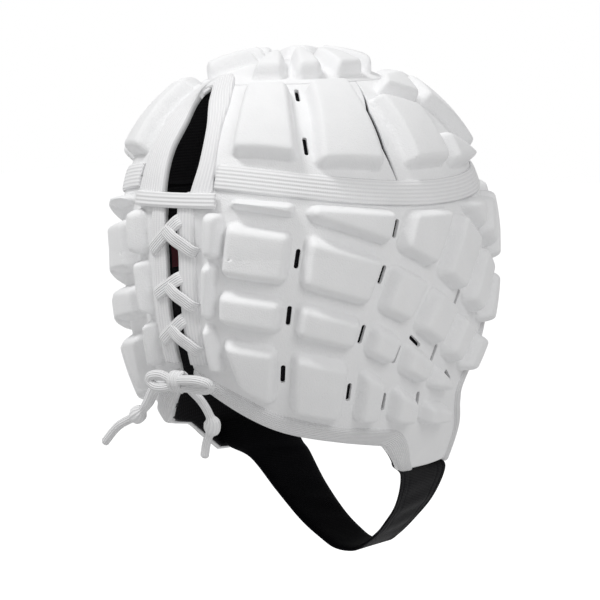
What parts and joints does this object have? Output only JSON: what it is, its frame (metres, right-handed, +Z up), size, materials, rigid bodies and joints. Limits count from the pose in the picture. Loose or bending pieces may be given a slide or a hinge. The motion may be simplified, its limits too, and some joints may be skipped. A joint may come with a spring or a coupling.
{
  "type": "rugby scrum cap",
  "caption": "Padded white rugby scrum cap of moulded foam blocks on a black lining, with a head band, lacing at the back, ear flaps with vents and a black chin strap.",
  "frame": {"origin": "inside of the crown's top, where the top of the wearer's head touches the lining; the cap is held up there, in the shape it has on a head", "axes": "+Z up, the wearer faces -Y, the wearer's right is -X"},
  "size_m": [0.185, 0.22, 0.2657],
  "materials": {
    "foam": "matte moulded foam",
    "tape": "ribbed woven tape",
    "lace": "flat woven lace",
    "lining": "black knitted lining",
    "strap": "black padded strap cloth",
    "patch": "plain dark red cloth"
  },
  "bodies": {
    "root": {"crown_top": "foam", "crown_front": "foam", "crown_back_right": "foam", "crown_back_left": "foam", "forehead_panel": "foam", "side_panel_right": "foam", "side_panel_left": "foam", "head_band": "tape", "slit_trim": "tape", "slit_bar": "tape", "lace_tape_right": "tape", "lace_tape_left": "tape", "neck_binding_right": "tape", "neck_binding_left": "tape", "face_binding": "tape", "lace_upper_cross": "lace", "lace_middle_cross": "lace", "lace_lower_cross": "lace", "lace_bow": "lace", "lace_tail_left": "lace", "lace_tail_right": "lace", "crown_lining": "lining", "side_lining": "lining", "chin_strap": "strap", "inner_patch": "patch"}
  },
  "joints": []
}
